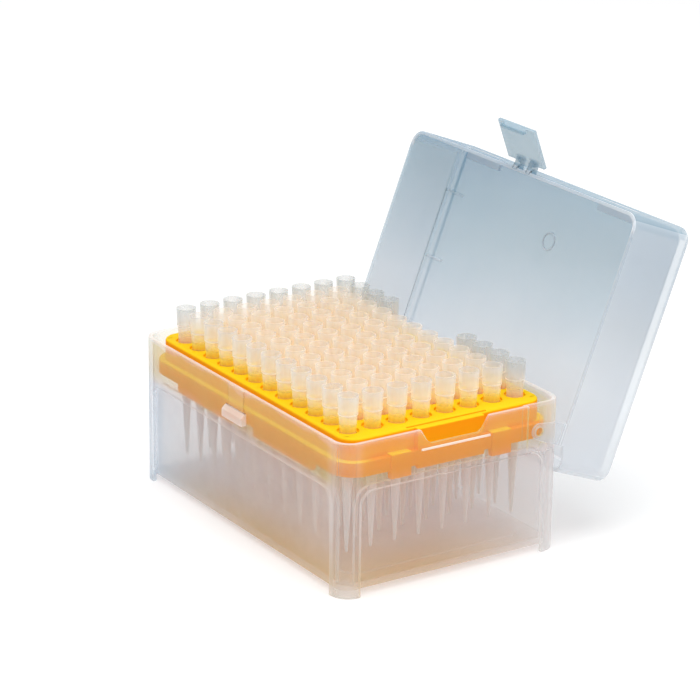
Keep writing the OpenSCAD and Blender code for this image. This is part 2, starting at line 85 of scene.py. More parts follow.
def addNode(tree, kind, **values):
    # Makes a shader node; values are written to its sockets, an underscore in a name standing for a space.
    node = tree.nodes.new(kind)
    for name, value in values.items():
        node.inputs[name.replace("_", " ")].default_value = value
    return node

def setOrLink(tree, socket, value):
    if isinstance(value, (int, float, tuple)):
        socket.default_value = value
    else:
        tree.links.new(value, socket)

def addMath(tree, operation, first, second=0.0):
    node = tree.nodes.new("ShaderNodeMath")
    node.operation = operation
    setOrLink(tree, node.inputs[0], first)
    setOrLink(tree, node.inputs[1], second)
    return node.outputs[0]

def mixShaders(tree, amount, first, second):
    node = tree.nodes.new("ShaderNodeMixShader")
    setOrLink(tree, node.inputs[0], amount)
    tree.links.new(first, node.inputs[1])
    tree.links.new(second, node.inputs[2])
    return node.outputs[0]

def seenByCamera(tree):
    # One for rays that come from the camera, off gloss or through glass, nought for rays that light things.
    path = tree.nodes.new("ShaderNodeLightPath")
    seen = addMath(tree, "MAXIMUM", path.outputs["Is Camera Ray"], path.outputs["Is Glossy Ray"])
    return addMath(tree, "MAXIMUM", seen, path.outputs["Is Transmission Ray"])

def makeSurroundings(setup):
    world = bpy.data.worlds.new("surroundings")
    world.use_nodes = True
    scene.world = world
    tree = world.node_tree
    tree.nodes.clear()
    light = addNode(tree, "ShaderNodeBackground", Color=(1, 1, 1, 1), Strength=setup["sky"])
    plain = addNode(tree, "ShaderNodeBackground", Color=(1, 1, 1, 1), Strength=1.0)
    out = tree.nodes.new("ShaderNodeOutputWorld")
    tree.links.new(mixShaders(tree, seenByCamera(tree), light.outputs[0], plain.outputs[0]), out.inputs[0])

floorSetup = {"half": 3.0, "colour": (0.72, 0.72, 0.72, 1), "lift": 0.3}

def makeFloor(setup):
    half = setup["half"]
    corners = [(-half, -half, 0), (half, -half, 0), (half, half, 0), (-half, half, 0)]
    mesh = bpy.data.meshes.new("floor")
    mesh.from_pydata(corners, [], [(0, 1, 2, 3)])
    floor = bpy.data.objects.new("floor", mesh)
    scene.collection.objects.link(floor)
    material = bpy.data.materials.new("paleFloor")
    material.use_nodes = True
    tree = material.node_tree
    tree.nodes.clear()
    paint = addNode(tree, "ShaderNodeBsdfDiffuse", Color=setup["colour"])
    paintedLight = addNode(tree, "ShaderNodeEmission", Color=(1, 1, 1, 1))
    tree.links.new(addMath(tree, "MULTIPLY", seenByCamera(tree), setup["lift"]), paintedLight.inputs["Strength"])
    both, out = tree.nodes.new("ShaderNodeAddShader"), tree.nodes.new("ShaderNodeOutputMaterial")
    tree.links.new(paint.outputs[0], both.inputs[0])
    tree.links.new(paintedLight.outputs[0], both.inputs[1])
    tree.links.new(both.outputs[0], out.inputs[0])
    mesh.materials.append(material)

placeCamera(cameraSetup)
makeSurroundings(lampSetup)
for name in ("above", "side"):
    placeLamp(name, *lampSetup[name])
makeFloor(floorSetup)
scene.view_settings.view_transform = "Standard"
# The walls, tips and lid lie many layers deep, so light may pass through more of them than usual.
bounces = {"transparent_max_bounces": 32, "diffuse_bounces": 8, "transmission_bounces": 16, "max_bounces": 20}
for kind, count in bounces.items():
    setattr(scene.cycles, kind, count)
print("camera, lamps and floor are in place")


cloudLow, cloudHigh, cloudDetail = 0.3, 0.7, 3  # a cloudy pattern stays mostly between the first two
grainDetail = 2
plasticIndex = 1.49                             # how strongly the plastics bend light

def startMaterial(name):
    material = bpy.data.materials.new(name)
    material.use_nodes = True
    material.node_tree.nodes.clear()
    return material, material.node_tree

def addNoise(tree, scale, detail=2.0, roughness=0.5, stretch=(1, 1, 1)):
    # Cloudy pattern on the piece's own metres, drawn out along an axis by stretch.
    place = tree.nodes.new("ShaderNodeTexCoord")
    mapping = addNode(tree, "ShaderNodeMapping", Scale=stretch)
    noise = addNode(tree, "ShaderNodeTexNoise", Scale=scale, Detail=detail, Roughness=roughness)
    tree.links.new(place.outputs["Object"], mapping.inputs["Vector"])
    tree.links.new(mapping.outputs[0], noise.inputs["Vector"])
    return noise.outputs["Fac"]

def addRange(tree, value, fromLow, fromHigh, toLow, toHigh):
    ends = {"From_Min": fromLow, "From_Max": fromHigh, "To_Min": toLow, "To_Max": toHigh}
    node = addNode(tree, "ShaderNodeMapRange", **ends)
    tree.links.new(value, node.inputs["Value"])
    return node.outputs["Result"]

def addVaried(tree, cloud, middle, spread):
    # A value that wanders by spread to either side of its middle, as the cloudy pattern goes.
    return addRange(tree, cloud, cloudLow, cloudHigh, middle - spread, middle + spread)

def addBlend(tree, amount, first, second):
    # Colour that goes from first to second as amount goes from nought to one.
    node = tree.nodes.new("ShaderNodeMix")
    node.data_type = "RGBA"
    tree.links.new(amount, node.inputs["Factor"])
    setOrLink(tree, node.inputs[6], first)
    setOrLink(tree, node.inputs[7], second)
    return node.outputs[2]

def addBump(tree, height, strength, distance):
    node = addNode(tree, "ShaderNodeBump", Strength=strength, Distance=distance)
    tree.links.new(height, node.inputs["Height"])
    return node.outputs["Normal"]

def addGrain(tree, scale, strength, depth):
    # The fine unevenness that a mould leaves, with its depth in metres.
    return addBump(tree, addNoise(tree, scale, grainDetail), strength, depth)

def addPlace(tree, turned=0.0, about=(0, 0)):
    # The piece's own x, y and z in millimetres, after a turn in degrees about a line that runs along x
    # through the given y and z.
    angle = math.radians(turned)
    shiftY = about[0] - about[0] * math.cos(angle) + about[1] * math.sin(angle)
    shiftZ = about[1] - about[0] * math.sin(angle) - about[1] * math.cos(angle)
    place, split = tree.nodes.new("ShaderNodeTexCoord"), tree.nodes.new("ShaderNodeSeparateXYZ")
    mapping = addNode(tree, "ShaderNodeMapping", Location=(0, shiftY, shiftZ), Rotation=(angle, 0, 0),
                      Scale=(1 / mm, 1 / mm, 1 / mm))
    tree.links.new(place.outputs["Object"], mapping.inputs["Vector"])
    tree.links.new(mapping.outputs[0], split.inputs[0])
    axes = {"x": split.outputs["X"], "y": split.outputs["Y"], "z": split.outputs["Z"]}
    axes["sideX"] = addMath(tree, "ABSOLUTE", axes["x"])   # the same on both sides of the middle
    axes["sideY"] = addMath(tree, "ABSOLUTE", axes["y"])
    return axes

def addRamp(tree, value, stops):
    # Colour read along a value from stops of (value, red, green, blue).
    low, high = stops[0][0], stops[-1][0]
    node = tree.nodes.new("ShaderNodeValToRGB")
    elements = node.color_ramp.elements
    elements.remove(elements[1])
    elements[0].position, elements[0].color = 0, (*stops[0][1:], 1)
    for stop in stops[1:]:
        elements.new((stop[0] - low) / (high - low)).color = (*stop[1:], 1)
    tree.links.new(addRange(tree, value, low, high, 0, 1), node.inputs[0])
    return node.outputs["Color"]

def addProduct(tree, *values):
    total = values[0]
    for value in values[1:]:
        total = addMath(tree, "MULTIPLY", total, value)
    return total

def addSum(tree, *values):
    total = values[0]
    for value in values[1:]:
        total = addMath(tree, "ADD", total, value)
    return total

def addParts(tree, axes, parts):
    # A part is one where all its limits hold. A limit is an axis, then where it is nought and where one.
    made = {}
    for name, limits in parts.items():
        ranges = (addRange(tree, axes[axis], nought, one, 0, 1) for axis, nought, one in limits)
        made[name] = addProduct(tree, *ranges)
    return made

def addWeighed(tree, parts, weights):
    # The sum of the parts, each times its weight.
    return addSum(tree, *(addMath(tree, "MULTIPLY", parts[name], weight) for name, weight in weights.items()))

def addPlastic(tree, colour, roughness, normal, cover, look):
    # A thin moulded wall: some light goes straight on, some scatters out of the far side, the rest returns.
    body = addNode(tree, "ShaderNodeBsdfPrincipled", IOR=plasticIndex, Specular_IOR_Level=look["gloss"])
    behind = tree.nodes.new("ShaderNodeBsdfTranslucent")
    for socket, value in ((body.inputs["Base Color"], colour), (behind.inputs["Color"], colour),
                          (body.inputs["Roughness"], roughness), (body.inputs["Normal"], normal)):
        setOrLink(tree, socket, value)
    shader = mixShaders(tree, look["through"], body.outputs[0], behind.outputs[0])
    if cover is not None:
        # A wall seen along its face covers more of what is behind it, as the way through it is longer there.
        slant = addNode(tree, "ShaderNodeLayerWeight", Blend=look["bend"])
        cover = addSum(tree, cover, addMath(tree, "MULTIPLY", slant.outputs["Facing"], look["atEdge"]))
        clear = addNode(tree, "ShaderNodeBsdfTransparent", Color=look["tint"])
        shader = mixShaders(tree, cover, clear.outputs[0], shader)
    out = tree.nodes.new("ShaderNodeOutputMaterial")
    tree.links.new(shader, out.inputs["Surface"])

frostedBox = {
    "cover": 0.08, "coverSpread": 0.03, "atEdge": 0.55, "bend": 0.5, "through": 0.5, "gloss": 0.3,
    "tint": (0.99, 0.99, 0.99, 1), "roughness": 0.40, "roughSpread": 0.06,
    "cloud": 60, "grain": (2600, 0.25, 0.00004),
    # The wall is painted with the orange light of the tray and of what lies inside, by height in millimetres.
    "paintedLight": [(0, 0.83, 0.61, 0.29), (6, 0.86, 0.70, 0.44), (16, 0.93, 0.87, 0.81), (30, 0.94, 0.92, 0.91),
             (35.5, 0.94, 0.91, 0.87), (37, 0.89, 0.85, 0.66), (39.4, 0.83, 0.81, 0.42),
             (49.6, 0.83, 0.81, 0.42), (50.6, 0.93, 0.92, 0.90)],
    "waver": 1.2,                               # how far the heights of the painted light wander
    # Away from the filled inside the wall gets painted shade instead, by x + y in millimetres: bluish grey
    # towards low x + y, grey in the middle and nearly white towards high x + y.
    "plain": [(-103, 0.74, 0.86, 0.98), (-40, 0.87, 0.90, 0.94), (21, 0.86, 0.86, 0.86),
              (103, 0.98, 0.98, 0.99)],
    # The painted tray light grows along x - slope * y, from its least to full, and is weaker at the corner
    # posts.
    "slope": 1.5, "paintedLightFrom": 0, "paintedLightTo": 70, "leastPaintedLight": 0.05, "cornerPaintedLight": 0.35,
    "paleHighlight": (0.97, 0.96, 0.95, 1),
    # The catch, the rib under each notch and the rim are thicker plastic and cover more, and they are painted
    # whitish as highlights.
    "parts": {
        "corner": [("sideX", 53, 56.5), ("sideY", 33, 36)],
        "trayHigh": [("z", 35, 37)],
        "catch": [("y", -41.7, -41.8), ("sideX", 6.5, 6.3)],
        "rib": [("sideX", 62.45, 62.6), ("z", 44.1, 44.2), ("z", 45.05, 44.95)],
        "rim": [("z", 50.55, 50.75)],
    },
    "catchFoot": (43.8, 44.0), "catchAbove": 0.15,        # the catch is painted whitest at its foot, as a highlight, and covers most there
    "coverBy": {"corner": 0.05, "catch": 0.5, "rib": 0.8, "rim": 0.15},
}

def makeFrostedBox(look):
    material, tree = startMaterial("frostedBox")
    axes = addPlace(tree)
    parts = addParts(tree, axes, look["parts"])
    cloud = addNoise(tree, look["cloud"], cloudDetail)
    height = addMath(tree, "ADD", axes["z"], addVaried(tree, cloud, 0, look["waver"]))
    # Painted orange light from the tray, read by height.
    paintedLight = addRamp(tree, height, look["paintedLight"])
    # The painted tray light is strongest where most of the filled inside lies behind the wall.
    along = addMath(tree, "ADD", axes["x"], addMath(tree, "MULTIPLY", axes["y"], -look["slope"]))
    amount = addRange(tree, along, look["paintedLightFrom"], look["paintedLightTo"], look["leastPaintedLight"], 1)
    amount = addMath(tree, "MAXIMUM", amount, parts["trayHigh"])
    amount = addMath(tree, "MULTIPLY", amount, addRange(tree, parts["corner"], 0, 1, 1, look["cornerPaintedLight"]))
    # Painted shade for the walls away from the tray light.
    plain = addRamp(tree, addMath(tree, "ADD", axes["x"], axes["y"]), look["plain"])
    foot = addRange(tree, axes["z"], *look["catchFoot"], 1, look["catchAbove"])
    parts["catch"] = addMath(tree, "MULTIPLY", parts["catch"], foot)
    # Painted highlights: the catch, the rib and the rim are painted whitish in place of the tray light.
    thickAndHighlit = addMath(tree, "MAXIMUM", parts["catch"], addMath(tree, "MAXIMUM", parts["rib"], parts["rim"]))
    colour = addBlend(tree, thickAndHighlit, addBlend(tree, amount, plain, paintedLight), look["paleHighlight"])
    cover = addSum(tree, addVaried(tree, cloud, look["cover"], look["coverSpread"]),
                   addWeighed(tree, parts, look["coverBy"]))
    roughness = addVaried(tree, cloud, look["roughness"], look["roughSpread"])
    addPlastic(tree, colour, roughness, addGrain(tree, *look["grain"]), cover, look)
    return material

clearLid = {
    "cover": 0.42, "atEdge": 0.3, "bend": 0.3, "through": 0.35, "gloss": 0.4, "tint": (0.95, 0.97, 0.98, 1),
    "roughness": 0.20, "roughSpread": 0.04, "cloud": 45, "grain": (900, 0.12, 0.00004),
    "open": 111, "hinge": (32.55, 41.45),       # degrees, then y and z of the hinge line in millimetres
    # The lid's own blue-grey with painted shade, darkest at the front edge of the shut lid and lighter
    # towards its back, in millimetres.
    "shade": [(-48, 0.18, 0.37, 0.53), (-36, 0.305, 0.49, 0.615), (-18, 0.40, 0.54, 0.635),
              (0, 0.545, 0.65, 0.74), (20, 0.73, 0.785, 0.85), (36, 0.79, 0.82, 0.86),
              (60, 0.91, 0.94, 0.98)],
    "lean": 0.15, "waver": 2,                   # the painted shade leans along x and wanders by a few millimetres
    "rightFace": (61.0, 61.2), "rightLeast": (-50, 20),   # from its face on, the right wall's painted shade is no darker
    # Parts of the shut lid and its latch, in millimetres. The fold is where a side wall meets the border, and
    # the step is the border's own face. The ears stand at the hinge and are left clear.
    "parts": {
        "latch": [("y", -42.0, -42.4)],
        "wall": [("sideX", 61.0, 61.2), ("y", -42.4, -42.0)],
        "rightWall": [("sideX", 61.0, 61.2), ("y", -42.4, -42.0), ("x", -62, 62)],
        "rightFront": [("y", -39.0, -40.0), ("x", 44, 58)],
        "pad": [("y", -37.3, -37.6), ("sideX", 27, 27.6), ("sideX", 47, 46.4), ("z", 66, 65.6),
                ("z", 62.9, 63.3), ("y", -42.4, -42.0)],
        "rim": [("z", 51.8, 51.6), ("z", 50.95, 51.05), ("y", -42.4, -42.0), ("y", -34, -37)],
        "sideRim": [("z", 51.8, 51.6), ("z", 50.95, 51.05), ("y", -37, -34)],
        "rib": [("z", 71.4, 71.5), ("z", 72.32, 72.2), ("sideX", 60.1, 60.0), ("y", -39.3, -39.0)],
        "fold": [("sideX", 60.1, 60.4), ("sideX", 61.4, 61.3), ("z", 70.9, 71.2), ("z", 72.6, 72.4)],
        "step": [("sideX", 59.7, 59.9), ("sideX", 60.6, 60.4), ("z", 73.3, 73.5)],
        "ear": [("z", 50.9, 50.7), ("y", 0, 1)],
    },
    # How far each part moves along the ramp of painted shade, and what it adds to the cover: the latch,
    # walls, right front, pads, rim, ribs and step are painted lighter, the rim and pads as painted
    # highlights, and the folds and side rims are painted darker.
    "shadeBy": {"latch": 26, "wall": 22, "rightWall": 12, "rightFront": 22, "pad": 58, "rim": 60,
                "sideRim": -20, "rib": 25, "fold": -15, "step": 30},
    "coverBy": {"wall": 0.08, "rim": 0.3, "sideRim": -0.2, "rib": 0.2, "pad": 0.2, "ear": -0.3, "fold": 0.08,
                "step": -0.6},
}

def makeClearLid(look):
    material, tree = startMaterial("clearLid")
    axes = addPlace(tree, look["open"], look["hinge"])
    parts = addParts(tree, axes, look["parts"])
    cloud = addNoise(tree, look["cloud"], cloudDetail)
    along = addSum(tree, axes["y"], addMath(tree, "MULTIPLY", axes["x"], look["lean"]),
                   addVaried(tree, cloud, 0, look["waver"]), addWeighed(tree, parts, look["shadeBy"]))
    least = addRange(tree, axes["x"], *look["rightFace"], *look["rightLeast"])
    along = addMath(tree, "MAXIMUM", along, least)
    cover = addSum(tree, addWeighed(tree, parts, look["coverBy"]), look["cover"])
    roughness = addVaried(tree, cloud, look["roughness"], look["roughSpread"])
    # Painted shade, read along the ramp.
    colour = addRamp(tree, along, look["shade"])
    addPlastic(tree, colour, roughness, addGrain(tree, *look["grain"]), cover, look)
    return material

yellowTray = {
    # The top is the lit yellow and the side the shaded orange: painted light and shade on the plastic's own
    # yellow-orange.
    "top": (1.0, 0.83, 0.015, 1), "side": (1.0, 0.41, 0.004, 1), "through": 0.36, "gloss": 0.07,
    "roughness": 0.48, "roughSpread": 0.06, "cloud": 70, "grain": (2200, 0.2, 0.00004),
    "level": 0.8,                               # a face that points this far upwards is painted the top's lit colour
    # The ledge of the short sides is painted in shade with the side's colour, except on the tabs.
    "parts": {"ledge": [("z", 45, 44.5), ("sideX", 57.6, 57.9), ("fromTab", 3.6, 3.9), ("y", -33, -28)]},
    "tabAt": 18.9,                              # a tab's middle along y
}

def makeYellowTray(look):
    material, tree = startMaterial("yellowTray")
    coordinates, split = tree.nodes.new("ShaderNodeTexCoord"), tree.nodes.new("ShaderNodeSeparateXYZ")
    tree.links.new(coordinates.outputs["Normal"], split.inputs[0])
    axes = addPlace(tree)
    axes["fromTab"] = addMath(tree, "ABSOLUTE", addMath(tree, "SUBTRACT", axes["sideY"], look["tabAt"]))
    ledge = addParts(tree, axes, look["parts"])["ledge"]
    # Painted light and shade: faces that point upwards get the lit yellow of the top, the others the orange
    # of the sides, which is also the deeper colour of thicker plastic.
    upward = addMath(tree, "MULTIPLY", addRange(tree, split.outputs["Z"], 0.0, look["level"], 0, 1),
                     addRange(tree, ledge, 0, 1, 1, 0))
    cloud = addNoise(tree, look["cloud"], cloudDetail)
    roughness = addVaried(tree, cloud, look["roughness"], look["roughSpread"])
    colour = addBlend(tree, upward, look["side"], look["top"])
    addPlastic(tree, colour, roughness, addGrain(tree, *look["grain"]), None, look)
    return material

tipPlastic = {
    "cover": 0.28, "coverSpread": 0.03, "atEdge": 0.27, "bend": 0.5, "through": 0.5, "gloss": 0.15,
    "tint": (0.992, 0.99, 0.985, 1), "roughness": 0.42, "roughSpread": 0.06,
    "cloud": 300, "streak": 0.15, "bump": (0.03, 0.00008),
    # Colour by height in millimetres, painted light: a tip is painted with the tray's light near it, and more
    # so among the others; the back rows are painted in shade towards their mouths and each lip is painted a
    # little darker.
    "paintedLight": [(0, 0.93, 0.90, 0.87), (48, 0.96, 0.88, 0.76), (50.6, 1.0, 0.86, 0.60), (54, 0.99, 0.92, 0.80),
             (57, 0.98, 0.94, 0.88), (61.5, 0.98, 0.95, 0.91), (61.85, 0.94, 0.90, 0.85)],
    "backPaintedLight": [(0, 0.90, 0.89, 0.88), (48, 0.92, 0.86, 0.76), (50.6, 0.98, 0.84, 0.60),
                 (54, 0.93, 0.87, 0.79), (57, 0.83, 0.82, 0.80), (61.5, 0.71, 0.75, 0.77),
                 (61.85, 0.70, 0.74, 0.75)],
    "frontPaintedLight": [(0, 0.93, 0.92, 0.92), (40, 0.94, 0.92, 0.90), (48, 0.98, 0.88, 0.65),
                  (51, 1.0, 0.86, 0.12), (52.3, 1.0, 0.90, 0.28), (53.2, 1.0, 0.97, 0.80),
                  (57, 1.0, 0.96, 0.84), (61.5, 0.89, 0.88, 0.88), (61.85, 0.85, 0.84, 0.84)],
    "paleHighlight": (0.97, 0.95, 0.93, 1),
    # The rows along the outside and the ring round each collar, in millimetres.
    "parts": {
        "right": [("x", 44, 46)], "front": [("y", -26, -28)],
        "left": [("x", -44, -46)], "back": [("y", 26, 28)],
        "ring": [("z", 55.55, 55.75), ("z", 56.25, 56.05)],
        "aboveTray": [("z", 54.5, 52.5)], "atTray": [("z", 52.7, 52.0)],
    },
    "ringCover": 0.4, "aboveCover": -0.1, "trayCover": 0.28,       # what they add to the cover
}

def makeTipPlastic(look):
    material, tree = startMaterial("tipPlastic")
    axes = addPlace(tree)
    parts = addParts(tree, axes, look["parts"])
    cloud = addNoise(tree, look["cloud"], cloudDetail, stretch=(1, 1, look["streak"]))
    front = addMath(tree, "MAXIMUM", parts["right"], parts["front"])
    back = addMath(tree, "MAXIMUM", parts["left"], parts["back"])
    cover = addSum(tree, addVaried(tree, cloud, look["cover"], look["coverSpread"]),
                   addMath(tree, "MULTIPLY", parts["ring"], look["ringCover"]),
                   addProduct(tree, front, parts["aboveTray"], look["aboveCover"]),
                   addProduct(tree, front, parts["atTray"], look["trayCover"]))
    # Painted light from the tray, with painted shade on the back rows and on the lips.
    paintedLights = {name: addRamp(tree, axes["z"], look[name]) for name in ("paintedLight", "frontPaintedLight", "backPaintedLight")}
    colour = addBlend(tree, front, paintedLights["paintedLight"], paintedLights["frontPaintedLight"])
    colour = addBlend(tree, back, colour, paintedLights["backPaintedLight"])
    # The ring round each collar is painted whitish as a highlight line.
    colour = addBlend(tree, parts["ring"], colour, look["paleHighlight"])
    roughness = addVaried(tree, cloud, look["roughness"], look["roughSpread"])
    addPlastic(tree, colour, roughness, addBump(tree, cloud, *look["bump"]), cover, look)
    return material

filterFibre = {
    "shaded": (0.86, 0.84, 0.80, 1), "lit": (0.97, 0.96, 0.94, 1), "through": 0.2, "gloss": 0.2,
    "roughness": 0.9, "fibre": (4000, 4, 0.7), "bump": (0.8, 0.0002),
}

def makeFilterFibre(look):
    material, tree = startMaterial("filterFibre")
    fibre = addNoise(tree, *look["fibre"])
    colour = addBlend(tree, fibre, look["shaded"], look["lit"])
    addPlastic(tree, colour, look["roughness"], addBump(tree, fibre, *look["bump"]), None, look)
    return material

finishes = {
    "frosted_box": makeFrostedBox(frostedBox),
    "clear_lid": makeClearLid(clearLid),
    "yellow_tray": makeYellowTray(yellowTray),
    "tip_plastic": makeTipPlastic(tipPlastic),
    "filter_fibre": makeFilterFibre(filterFibre),
}
print("finishes are made")


def newPiece(name, mesh):
    piece = bpy.data.objects.new(name, mesh)
    scene.collection.objects.link(piece)
    return piece

def finishPiece(piece, node, body, slot):
    piece.data.materials.append(finishes[slot])
    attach(piece, body)
    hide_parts(node)

# Edges are in millimetres, steps are the faces across a rounded edge.
mouldings = {
    "base_box": {"name": "frostedBase", "body": "base", "slot": "frosted_box", "edge": 0.28, "steps": 2},
    "lid": {"name": "clearLidShell", "body": "lid", "slot": "clear_lid", "edge": 0.2, "steps": 2},
    "latch": {"name": "lidLatch", "body": "latch", "slot": "clear_lid", "edge": 0.16, "steps": 2},
}

# Points closer than this many millimetres are joined, and so are faces that turn by less than flat. Edges
# that turn by more than sharp are rounded. Both angles are in degrees.
softening = {"closer": 0.002, "flat": 0.05, "sharp": 35}

def softenMoulding(node, look):
    # The piece keeps the frame's faces, and its sharp edges get a small radius, as a mould leaves them.
    mesh = nodes[node].data.copy()
    mesh.name = look["name"]
    if "custom_normal" in mesh.attributes:
        mesh.attributes.remove(mesh.attributes["custom_normal"])
    work = bmesh.new()
    work.from_mesh(mesh)
    bmesh.ops.remove_doubles(work, verts=work.verts, dist=softening["closer"] * mm)
    flat = math.radians(softening["flat"])
    bmesh.ops.dissolve_limit(work, angle_limit=flat, verts=work.verts, edges=work.edges)
    work.to_mesh(mesh)
    work.free()
    mesh.materials.clear()
    mesh.shade_smooth()
    piece = newPiece(look["name"], mesh)
    bevel = piece.modifiers.new("roundedEdges", "BEVEL")
    bevel.width, bevel.segments = look["edge"] * mm, look["steps"]
    bevel.limit_method, bevel.angle_limit = "ANGLE", math.radians(softening["sharp"])
    bevel.use_clamp_overlap, bevel.harden_normals = False, True
    finishPiece(piece, node, look["body"], look["slot"])

for node, look in mouldings.items():
    softenMoulding(node, look)
    print(look["name"], "is made")


# In millimetres. "top" is the deck's height; depths count down from it, and the border's offsets
# outwards from its outline, whose half lengths are "half".
tipTray = {
    "top": 50.5, "half": (58.0, 37.2), "corner": 6.0, "pitch": 9.0, "columns": 12, "rows": 8, "sides": 32,
    "mouth": 3.4, "bore": 2.75, "seat": 2.48, "tube": 3.55,
    "recess": 0.8, "seatAt": 5.0, "tubeEnd": 9.5, "plate": 1.6,
    # How a socket's edges are rounded, as steps outwards and upwards.
    "lip": [(0.28, 0), (0.1, -0.05), (0, -0.2)], "recessFoot": [(-0.03, 0.1), (-0.12, 0)],
    "boreTop": [(0.12, 0), (0, -0.12)],
    "tubeInside": [(0, 0.1), (0.1, 0)], "tubeOutside": [(-0.1, 0), (0, 0.1)],
    "roundIn": 0.75, "roundDown": 0.8, "roundAt": (22.5, 45, 67.5, 90),   # the deck's soft edge, by degrees
    "band": 2.2, "bandAt": 7.0, "wall": 1.5, "skirt": 11.7, "foot": 14.4, "strip": 13.0,
    "footFrom": 6.5, "footTo": 41.5, "tabFrom": 15.15, "tabTo": 22.65, "tabOut": 0.4, "tabUp": 0.5,
    "grip": 12.5, "gripOut": 1.8, "groove": 15.0, "ease": 0.22,
    # Cross-sections of the deck's edge, as offsets and heights: plain, with the groove and with the grip.
    "deckRows": [(-2.2, 0), (-1.5, 0), (-1.4, 0), (-1.3, 0), (-1.15, 0), (-1.0, 0)], "sideMiddle": -3.5,
    "grooveRows": [(-2.2, 0), (-1.5, 0), (-1.44, -0.08), (-1.38, -0.6), (-0.84, -0.6), (-0.78, -0.14),
                   (-0.62, -0.12)],
    "sharedRows": 5,                            # the grip's section starts with this many of the groove's
    "gripRows": [(-0.78, -0.14), (-0.7, -0.1), (0.6, -0.1)],
    "gripLip": [(-0.2, -0.12), (-0.04, -0.24), (0, -0.5)],
    "aboveBand": 0.12, "bandIn": 0.06, "bandMiddle": -9.6, "underIn": -1.5,
    # How the band's edges are rounded, as steps outwards and upwards.
    "bandTop": [(-0.2, 0), (-0.04, -0.06), (0, -0.24)], "bandFoot": [(0, 0.2), (-0.12, 0)],
    "innerFoot": [(0.12, 0), (0, 0.15)],
    "arcPoints": 15, "easeAt": (-0.9, -0.5, 0, 0.5, 0.9), "apart": 0.01, "sharp": 48,
    "straight": 0.999,                          # on a straight side, one way outwards is above this
}
joinWithin = 0.0005                             # points closer than this are joined, in millimetres

def fillMesh(name, points, faces, join):
    # Points come in millimetres. Where they are joined, corners that fell together leave their faces.
    mesh = bpy.data.meshes.new(name)
    mesh.from_pydata((points.reshape(-1, 3) * mm).tolist(), [], faces.reshape(-1, 4).tolist())
    if join:
        work = bmesh.new()
        work.from_mesh(mesh)
        bmesh.ops.remove_doubles(work, verts=work.verts, dist=joinWithin * mm)
        openEdges = sum(1 for edge in work.edges if not edge.is_manifold)
        print(name, len(work.faces), "faces,", openEdges, "open edges")
        work.to_mesh(mesh)
        work.free()
    mesh.shade_smooth()
    return mesh

def around(radius, height, steps):
    # The points that lie these steps outwards and upwards from a radius and a height.
    return [(radius + out, height + up) for out, up in steps]

def gridFaces(index):
    # Joins each point of a grid to its neighbours along its last two directions; the last closes on itself.
    here, below = index[..., :-1, :], index[..., 1:, :]
    return np.stack((here, below, np.roll(below, -1, axis=-1), np.roll(here, -1, axis=-1)), axis=-1)

def socketField(tray):
    # Each socket is a ring of directions carried from its square over the lip, down the bore and up outside
    # the tube. On the square, radius = half pitch / the greater of |cos turn| and |sin turn|, so that
    # neighbours share their corners.
    turn = np.arange(tray["sides"]) * 2 * np.pi / tray["sides"]
    square = tray["pitch"] / 2 / np.maximum(np.abs(np.cos(turn)), np.abs(np.sin(turn)))
    rings = (around(tray["mouth"], 0, tray["lip"])
             + around(tray["mouth"], -tray["recess"], tray["recessFoot"])
             + around(tray["bore"], -tray["recess"], tray["boreTop"])
             + [(tray["bore"], -tray["seatAt"]), (tray["seat"], -tray["seatAt"])]
             + around(tray["seat"], -tray["tubeEnd"], tray["tubeInside"])
             + around(tray["tube"], -tray["tubeEnd"], tray["tubeOutside"]) + [(tray["tube"], -tray["plate"])])
    radius = np.vstack((square, np.repeat([[r] for r, z in rings], tray["sides"], axis=1), square))
    height = np.array([0] + [z for r, z in rings] + [-tray["plate"]])
    across = (np.arange(tray["columns"]) - (tray["columns"] - 1) / 2) * tray["pitch"]
    along = (np.arange(tray["rows"]) - (tray["rows"] - 1) / 2) * tray["pitch"]
    centreX, centreY = (grid.ravel()[:, None, None] for grid in np.meshgrid(across, along))
    x, y = centreX + radius * np.cos(turn), centreY + radius * np.sin(turn)
    points = np.stack(np.broadcast_arrays(x, y, tray["top"] + height[None, :, None]), axis=-1)
    return points, gridFaces(np.arange(points[..., 0].size).reshape(points.shape[:3]))

def between(value, low, high, ease):
    # Goes from nought to one across low and back across high, each over a short ease.
    return np.clip((value - low) / ease + 0.5, 0, 1) * np.clip((high - value) / ease + 0.5, 0, 1)

def fieldSpots(tray, count):
    # Where the squares of a row of sockets have their points, so that the border can meet them one to one.
    # They are rounded to a millionth of a millimetre, so that equal places stay equal.
    turn = np.arange(-tray["sides"] // 8, tray["sides"] // 8 + 1) * 2 * np.pi / tray["sides"]
    side = tray["pitch"] / 2 * np.tan(turn)
    middles = (np.arange(count) - (count - 1) / 2) * tray["pitch"]
    return np.unique(np.round(middles[:, None] + side[None, :], 6))

